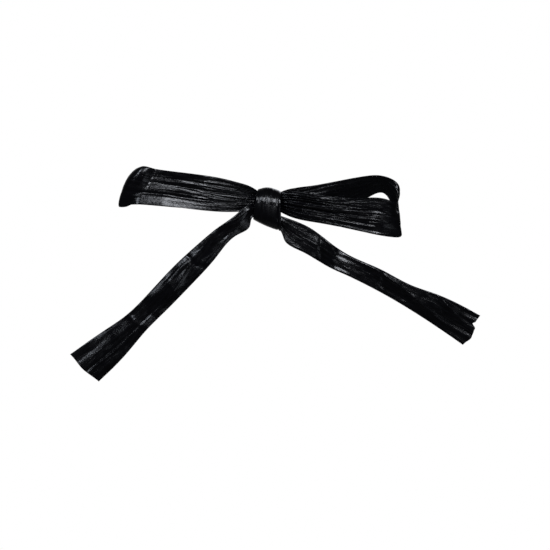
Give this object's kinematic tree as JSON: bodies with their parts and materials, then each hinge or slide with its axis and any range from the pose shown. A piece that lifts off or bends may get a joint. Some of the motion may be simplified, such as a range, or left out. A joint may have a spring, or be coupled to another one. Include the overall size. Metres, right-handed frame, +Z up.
{
  "type": "hair bow",
  "caption": "Tied ribbon bow with two open loops, a wrapped knot and two long spreading tails, on a sprung alligator hair clip.",
  "frame": {"origin": "middle of the clip's grip, behind the knot", "axes": "+X along the loops to the viewer's right, +Y into the hair, +Z up as worn"},
  "size_m": [0.2046, 0.0262, 0.1072],
  "materials": {
    "ribbon": "black crinkled satin with fine lengthwise pleats",
    "lining_ribbon": "black ribbed grosgrain, matt",
    "thread": "black twisted polyester thread",
    "glue": "translucent hot-melt glue",
    "clip_steel": "nickel-plated stamped sheet",
    "rivet_steel": "bright plated rivet",
    "spring_steel": "drawn spring wire"
  },
  "bodies": {
    "bow_core": {"clip_upper_jaw": "clip_steel", "hinge_pin": "rivet_steel", "torsion_spring": "spring_steel", "clip_lining": "lining_ribbon", "glue_pad": "glue", "knot_band": "ribbon", "knot_stitches": "thread", "waist_gather": "ribbon", "waist_thread": "thread", "tail_gather": "ribbon"},
    "lower_prong": {"clip_lower_prong": "clip_steel"},
    "left_loop": {"loop_left": "ribbon"},
    "right_loop": {"loop_right": "ribbon"},
    "left_tail": {"tail_left": "ribbon"},
    "right_tail": {"tail_right": "ribbon"}
  },
  "joints": [
    {"name": "jaw_hinge", "type": "hinge", "parent": "bow_core", "child": "lower_prong", "pos_m": [0.011, 0.0005, 0], "axis": [0, 0, -1], "range_deg": [0, 35], "stiffness_Nm_per_rad": 0.03, "springref_deg": -34.38, "deforming": ["torsion_spring"]},
    {"name": "left_loop_flex", "type": "hinge", "parent": "bow_core", "child": "left_loop", "pos_m": [-0.007, -0.007, 0], "axis": [0, 0, 1], "range_deg": [-3, 9], "stiffness_Nm_per_rad": 0.002},
    {"name": "right_loop_flex", "type": "hinge", "parent": "bow_core", "child": "right_loop", "pos_m": [0.007, -0.007, 0], "axis": [0, 0, -1], "range_deg": [-3, 9], "stiffness_Nm_per_rad": 0.002},
    {"name": "left_tail_lift", "type": "hinge", "parent": "bow_core", "child": "left_tail", "pos_m": [-0.0083, -0.0119, -0.0051], "axis": [-0.67, 0, 0.7424], "range_deg": [-3, 60], "stiffness_Nm_per_rad": 0.002},
    {"name": "right_tail_lift", "type": "hinge", "parent": "bow_core", "child": "right_tail", "pos_m": [0.0077, -0.0093, -0.0112], "axis": [-0.49, 0, -0.8717], "range_deg": [-3, 60], "stiffness_Nm_per_rad": 0.002}
  ]
}
